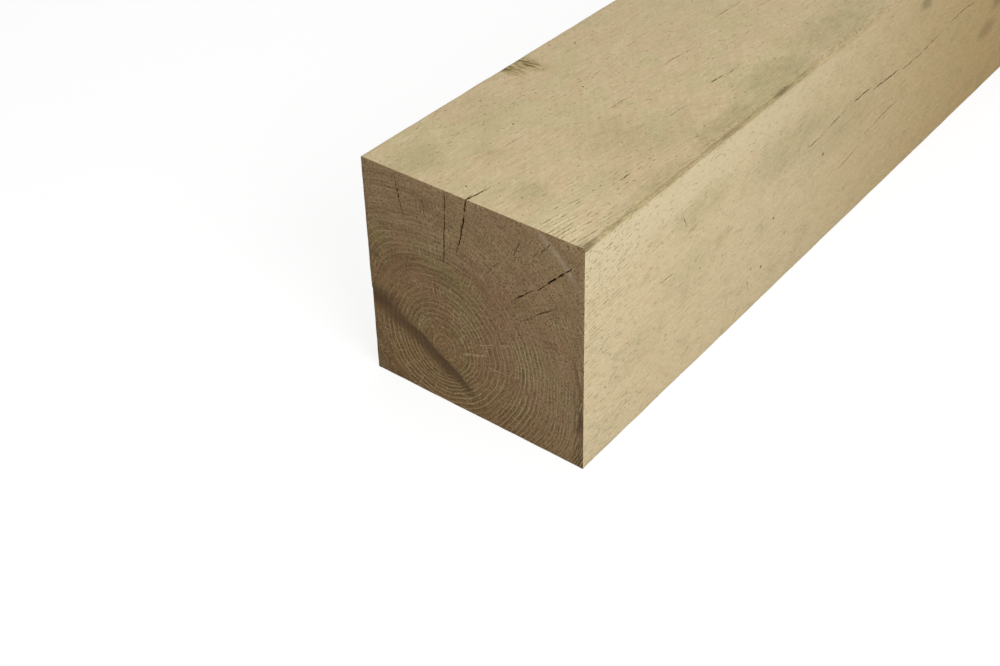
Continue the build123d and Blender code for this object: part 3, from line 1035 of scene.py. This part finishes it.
def sawn_face(growth, patch):
    """Oak sawn along the grain, bare and weathered a little: blotched straw and tan, matt, with fine dark
    dashes where pores were cut along their length."""
    finish, node = new_material("rough-sawn oak")
    place = wood_place(node)
    radius, _, _, along, _ = node(growth, place).outputs
    x, _, z = node(SEPARATE, place).outputs
    # The fibres cross the faces at 3 degrees, and lean a little to and fro
    lean = drift(node, place, (90, 420, 90), (14, 0, 14), 1.0)
    slope = node(VECTOR_TIMES, node(COMBINE, along, 0.0, along), (0.055, 0, 0.05))
    flow = node(VECTOR_MINUS, node(VECTOR_PLUS, place, lean), slope)
    tan = node(NOISE, node(VECTOR_OVER, flow, (22, 38, 22)), 1.0, 4.0, 0.6)
    olive = node(NOISE, node(VECTOR_PLUS, node(VECTOR_OVER, flow, (13, 20, 13)), (7, 3, 5)), 1.0, 4.0, 0.62)
    mottle = node(NOISE, node(VECTOR_OVER, flow, (4, 9, 4)), 1.0, 4.0, 0.65)
    fibre = node(NOISE, node(VECTOR_OVER, flow, (0.9, 18, 0.9)), 1.0, 2.0, 0.6)
    grit = node(NOISE, node(VECTOR_OVER, flow, (1.0, 2.2, 1.0)), 1.0, 2.0, 0.6)
    # Faint streaks left by the saw, slantwise down the top and down the side
    drop = node(PLUS, x, z)
    over_saw = node(OVER, node(PLUS, node(TIMES, along, 0.62), node(TIMES, drop, 0.79)), 2.6)
    with_saw = node(OVER, node(MINUS, node(TIMES, along, 0.79), node(TIMES, drop, 0.62)), 40.0)
    saw = node(FLAT_NOISE, node(COMBINE, over_saw, with_saw), 1.0, 2.0, 0.5)
    on_side = node(RAMP, x, 74.5, 75.9)
    colour = node(BLEND, node(RAMP, tan, 0.42, 0.58), linear("#bcac84"), linear("#c0aa85"))
    # The side is paler, most near the near end: partly its own tone, partly painted light where the side lamp
    # falls
    side = node(TIMES, on_side, node(RAMP, along, 100.0, 560.0, 0.7, 0.3))
    colour = painted(node, colour, (side, "#cfbc96"))
    # Each tone: its pattern, where that starts to show and shows fully, how strongly, and its colour
    for pattern, start, full, strength, shade in (
        (olive, 0.52, 0.66, 0.45, "#b2a37c"),
        (olive, 0.44, 0.3, 0.45, "#cbb792"),
        (mottle, 0.48, 0.28, 0.3, "#a8946d"),
        (mottle, 0.55, 0.75, 0.25, "#d6c7a3"),
        (fibre, 0.5, 0.25, 0.28, "#97825b"),
        (fibre, 0.5, 0.75, 0.25, "#ded1b0"),
        (grit, 0.48, 0.25, 0.16, "#937d55"),
        (grit, 0.52, 0.75, 0.16, "#e8dcba"),
        (saw, 0.5, 0.25, 0.05, "#9c885f"),
        (saw, 0.5, 0.75, 0.06, "#e2d6b4"),
    ):
        colour = painted(node, colour, (node(RAMP, pattern, start, full, 0.0, strength), shade))
    # Sapwood is paler on the side
    sap = node(TIMES, on_side, node(RAMP, along, 60.0, 400.0, 0.5, 0.1))
    colour = painted(node, colour, (node(TIMES, node(RAMP, radius, 118.0, 128.0), sap), "#d0c29e"))
    # Green-grey stain, in streaks where it follows the arris
    green = stained(node, patch, place, GREEN_STAINS, (8, 14, 8), (18, 30, 12))
    green = node(TIMES, green, node(RAMP, mottle, 0.3, 0.62, 0.45, 1.0))
    colour = node(TINT, green, colour, linear("#d9dfd2"))
    # Painted shade: the right side is browner and darker away from the near end, as the side lamp falls off
    brown = node(TIMES, on_side, node(RAMP, along, 150.0, 640.0, 0.0, 0.85))
    colour = node(TINT, brown, colour, linear("#ecdbb6"))
    # Broken dark lines with pale ridges between them fan out over the near right corner of the top
    corner = node(TIMES, node(RAMP, along, 5.0, 58.0, 1.0, 0.0), node(RAMP, x, 34.0, 52.0, 0.0, 1.0))
    corner = node(TIMES, corner, node(RAMP, z, 147.6, 148.3))
    # They crowd the near end of the side too, and a few are everywhere
    side_end = node(TIMES, on_side, node(RAMP, along, 15.0, 75.0, 0.65, 0.2))
    crowd = node(MOST, corner, side_end)
    across, _, upright = node(SEPARATE, flow).outputs
    ripple = node(TIMES, node(MINUS, mottle, 0.5), 3.0)
    lines = node(OVER, node(PLUS, node(PLUS, across, upright), ripple), LINES_APART)
    # One line's pieces have nothing to do with the next line's, as the lines lie this far apart in the noise
    apart = node(TIMES, node(FLOOR, lines), 1.37)
    broken = node(FLAT_NOISE, node(COMBINE, apart, node(OVER, along, LINE_PIECE)), 1.0, 2.0)
    aside = node(SIZE_OF, node(MINUS, node(FRACTION, lines), 0.5))
    limit = node(MINUS, 0.66, node(TIMES, crowd, 0.17))
    dash = node(RAMP, broken, limit, node(PLUS, limit, 0.1), 0.0, 0.85)
    dash = node(TIMES, node(RAMP, aside, 0.03, 0.2, 1.0, 0.0), dash)
    ridge = node(TIMES, crowd, node(RAMP, grit, 0.4, 0.62, 0.1, 0.55))
    colour = painted(node, colour, (node(TIMES, node(RAMP, aside, 0.2, 0.42), ridge), "#dacfad"))
    # Short dashes crowd the side near the arris. Each has a pale lip where fibres tore.
    high = node(TIMES, side_end, node(RAMP, z, 90.0, 130.0, 0.4, 1.25))
    tick = node(NOISE, node(VECTOR_OVER, flow, (0.87, 3.6, 0.87)), 1.0, 1.0, 0.5)
    limit = node(MINUS, 0.69, node(TIMES, high, 0.08))
    short = node(RAMP, tick, limit, node(PLUS, limit, 0.05))
    lip = node(TIMES, node(RAMP, tick, node(MINUS, limit, 0.06), limit), node(MINUS, 1.0, short))
    streak = node(NOISE, node(VECTOR_OVER, flow, (0.9, 22, 0.9)), 1.0, 2.0, 0.5)
    dash = node(MOST, dash, node(MOST, node(RAMP, streak, 0.76, 0.82), short))
    # All dashes are fainter on the side
    shown = node(TIMES, dash, node(MINUS, 0.62, node(TIMES, on_side, 0.2)))
    colour = painted(node, colour, (node(TIMES, lip, 0.35), "#e6dbba"), (shown, "#705a35"))
    # The edge of a knot, cut across its own grain, and dark spots
    knot = stained(node, patch, place, KNOT_STAINS, (6, 4, 6), (9, 5, 4))
    curl = node(NOISE, node(VECTOR_OVER, place, (7, 1.4, 7)), 1.0, 3.0, 0.6)
    spots = stained(node, patch, place, DARK_STAINS, (3, 8, 3), (3, 10, 2))
    colour = painted(
        node,
        colour,
        (node(TIMES, knot, 0.35), "#93803f"),
        (node(TIMES, knot, node(RAMP, curl, 0.44, 0.62, 0.0, 0.9)), "#5f4e26"),
        (node(TIMES, spots, node(RAMP, fibre, 0.35, 0.6, 0.4, 0.9)), "#655637"),
    )
    # Painted shade tones down the rounded top right arris, where both lamps catch it
    colour = node(TINT, node(RAMP, drop, 221.5, 223.6, 0.0, 0.9), colour, linear("#d8d2c0"))
    # The top right arris is worn, with dirt in its fibres
    rubbed = node(TIMES, node(RAMP, x, 64.0, 75.0), node(RAMP, z, 144.0, 148.6))
    rubbed = node(TIMES, rubbed, node(RAMP, node(MOST, streak, grit), 0.5, 0.66))
    rubbed = node(TIMES, rubbed, node(RAMP, along, 250.0, 700.0, 1.0, 0.3))
    colour = painted(node, colour, (node(TIMES, rubbed, 0.5), "#736748"))
    height = node(PLUS, node(TIMES, fibre, 0.14), node(TIMES, mottle, 0.2))
    height = node(PLUS, height, node(TIMES, grit, 0.12))
    height = node(MINUS, height, node(TIMES, dash, 0.25))
    matt_wood(node, colour, node(RAMP, mottle, 0.2, 0.8, 0.72, 0.9), height)
    return finish


def check_wall():
    """The torn inside of a drying check: darker than the face, rough, with fibres across it."""
    finish, node = new_material("torn oak inside a check")
    place = wood_place(node)
    fibre = node(NOISE, node(VECTOR_OVER, place, (0.8, 12, 0.8)), 1.0, 3.0, 0.7)
    colour = node(BLEND, node(RAMP, fibre, 0.3, 0.7), linear("#6b5030"), linear("#a68658"))
    matt_wood(node, colour, node(RAMP, fibre, 0.3, 0.7, 0.85, 0.97), node(TIMES, fibre, 0.4), shine=0.1)
    return finish


class OakPost(bpy.types.Operator):
    """Builds the oak post"""

    bl_idname = "object.oak_post"
    bl_label = "Oak post"

    def execute(self, context):
        shape = context.scene.oak_post_shape
        draw = random.Random(SEED)
        growth, rays, patch, stroke = (
            ("ShaderNodeGroup", {"node_tree": tree})
            for tree in (growth_group(), rays_group(), patch_group(), stroke_group())
        )
        face, end, wall = sawn_face(growth, patch), end_grain(growth, rays, patch, stroke), check_wall()
        ends, sides = [], []
        for name, checks in CHECKS.items():
            found = ends if name.endswith("end") else sides
            found += [check_cutter(name, route, gape, depth, draw) for route, gape, depth in checks]
        sides += [pin_hole_cutter(name, point, width, depth, draw) for name, point, width, depth in PIN_HOLES]
        post = gridded_blank(shape)
        # A vertex on an arris lies in two faces, or in three at a corner
        touch = 0.1 * MM
        gaps = (from_side, from_flat, from_end)
        marked(post, "arrises", lambda place: sum(gap(place) < touch for gap in gaps) > 1)
        roughen(post, (12, 15, 12), shape.arris_wear, 3, "arrises")
        roughen(post, (60, 300, 60), shape.face_relief, 1)
        roughen(post, (17, 80, 17), shape.face_relief / 3, 1)
        eased(post, shape.arris_ease, 3, (faces_side, faces_flat))
        eased(post, shape.end_ease, 2, (faces_end, lambda n: not faces_end(n)))
        post.data.materials.append(face)
        post.data.materials.append(end)
        with edit_mode(post):
            pick(post, "FACE", lambda f: faces_end(f.normal))
            post.active_material_index = 1
            bpy.ops.object.material_slot_assign()
        cut(post, wane_cutter(), face)
        cut(post, saw_step_cutter(shape.step_depth), end)
        # A check in an end may run into one in a long face, so the two sets are cut in turn
        for cutters in (ends, sides):
            cut(post, joined(cutters), wall)
        activate(post)
        bpy.ops.object.shade_smooth_by_angle(angle=math.radians(SMOOTH_ANGLE))
        post.name = post.data.name = "sawn_oak_post"
        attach(post, "root")
        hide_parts("oak_post")
        return {"FINISHED"}


# The camera, solved from the post's corners and long edges: where it stands, its pitch and yaw in degrees,
# how far the framing moves its view aside and down, and its sensor's width in millimetres
CAMERA_PLACE = (0.4203, -1.3884, 0.5653)
CAMERA_TURN = (-33.899, 36.257)
CAMERA_SHIFT = (-0.0628, -0.1086)
SENSOR_WIDTH = 36

# The floor's width in metres, how brightly it glows where the camera sees it, and how far the lamps and the
# post's shadow show in that
FLOOR_WIDTH = 12
PAPER_GLOW = 1.08
PAPER_SHADE = 0.25


def seen_share(node):
    """1 for a ray from the camera, also by way of gloss or glass, and 0 for light that bounces."""
    path = node(LIGHT_PATH).outputs
    reflected = node(MOST, path["Is Glossy Ray"], path["Is Transmission Ray"])
    return node(MOST, path["Is Camera Ray"], reflected)


def lamp(name, place, target, size, power):
    """A square softbox that faces its target."""
    aim = Vector(target) - Vector(place)
    bpy.ops.object.light_add(type="AREA", location=place, rotation=aim.to_track_quat("-Z", "Y").to_euler())
    box = bpy.context.active_object
    box.name = box.data.name = name
    box.data.size = size
    box.data.energy = power


class OakPostStage(bpy.types.Operator):
    """Adds the floor, the lamps, the world and the camera"""

    bl_idname = "scene.oak_post_stage"
    bl_label = "Stage"

    def execute(self, context):
        scene = context.scene
        settings = scene.oak_post_stage
        scene.view_settings.view_transform = "Standard"

        bpy.ops.mesh.primitive_plane_add(size=FLOOR_WIDTH, location=(0, 0, 0))
        floor = context.active_object
        floor.name = floor.data.name = "floor"
        # Pale paper: the camera sees it near white with the post's soft shadow, and its bounce is plain grey
        paper, node = new_material("pale paper floor")
        glow = node(GLOW, (1, 1, 1, 1), PAPER_GLOW)
        white = node(MIXED, PAPER_SHADE, glow, node(DIFFUSE, settings.floor_colour))
        node(MATERIAL_OUTPUT, node(MIXED, seen_share(node), node(DIFFUSE, linear("#c9c9c8")), white))
        floor.data.materials.append(paper)

        world = bpy.data.worlds.new("studio")
        scene.world = world
        world.use_nodes = True
        world.node_tree.nodes.clear()
        node = partial(add, world.node_tree)
        # White where it is seen, and dimmer where it lights the post
        brightness = node(PLUS, settings.sky, node(TIMES, seen_share(node), 1 - settings.sky))
        node(WORLD_OUTPUT, node(BACKGROUND, (1, 1, 1, 1), brightness))

        lamp("overhead softbox", (0.1, -0.5, 2.3), (0, -0.5, 0.1), 2.4, settings.overhead)
        lamp("side softbox", (0.85, -1.2, 0.75), (0, -0.75, 0.08), 0.6, settings.side)

        pitch, yaw = (math.radians(a) for a in CAMERA_TURN)
        bpy.ops.object.camera_add(location=CAMERA_PLACE, rotation=(math.pi / 2 + pitch, 0, yaw))
        camera = context.active_object
        camera.data.sensor_width = SENSOR_WIDTH
        camera.data.lens = settings.lens
        camera.data.shift_x, camera.data.shift_y = CAMERA_SHIFT
        scene.camera = camera
        return {"FINISHED"}


class OakPostPanel(bpy.types.Panel):
    """Lists the post's and the stage's settings, and what builds them"""

    bl_label = "Oak post"
    bl_idname = "VIEW3D_PT_oak_post"
    bl_space_type = "VIEW_3D"
    bl_region_type = "UI"
    bl_category = "Oak post"

    def draw(self, context):
        for group in (context.scene.oak_post_shape, context.scene.oak_post_stage):
            for name in group.__annotations__:
                self.layout.prop(group, name)
        self.layout.operator(OakPost.bl_idname)
        self.layout.operator(OakPostStage.bl_idname)


CLASSES = (OakPostShape, StageSettings, OakPost, OakPostStage, OakPostPanel)


def register():
    for cls in CLASSES:
        bpy.utils.register_class(cls)
    bpy.types.Scene.oak_post_shape = bpy.props.PointerProperty(type=OakPostShape)
    bpy.types.Scene.oak_post_stage = bpy.props.PointerProperty(type=StageSettings)


def unregister():
    del bpy.types.Scene.oak_post_stage
    del bpy.types.Scene.oak_post_shape
    for cls in reversed(CLASSES):
        bpy.utils.unregister_class(cls)


def main():
    register()
    bpy.ops.object.oak_post()
    bpy.ops.scene.oak_post_stage()


if __name__ == "__main__":
    main()
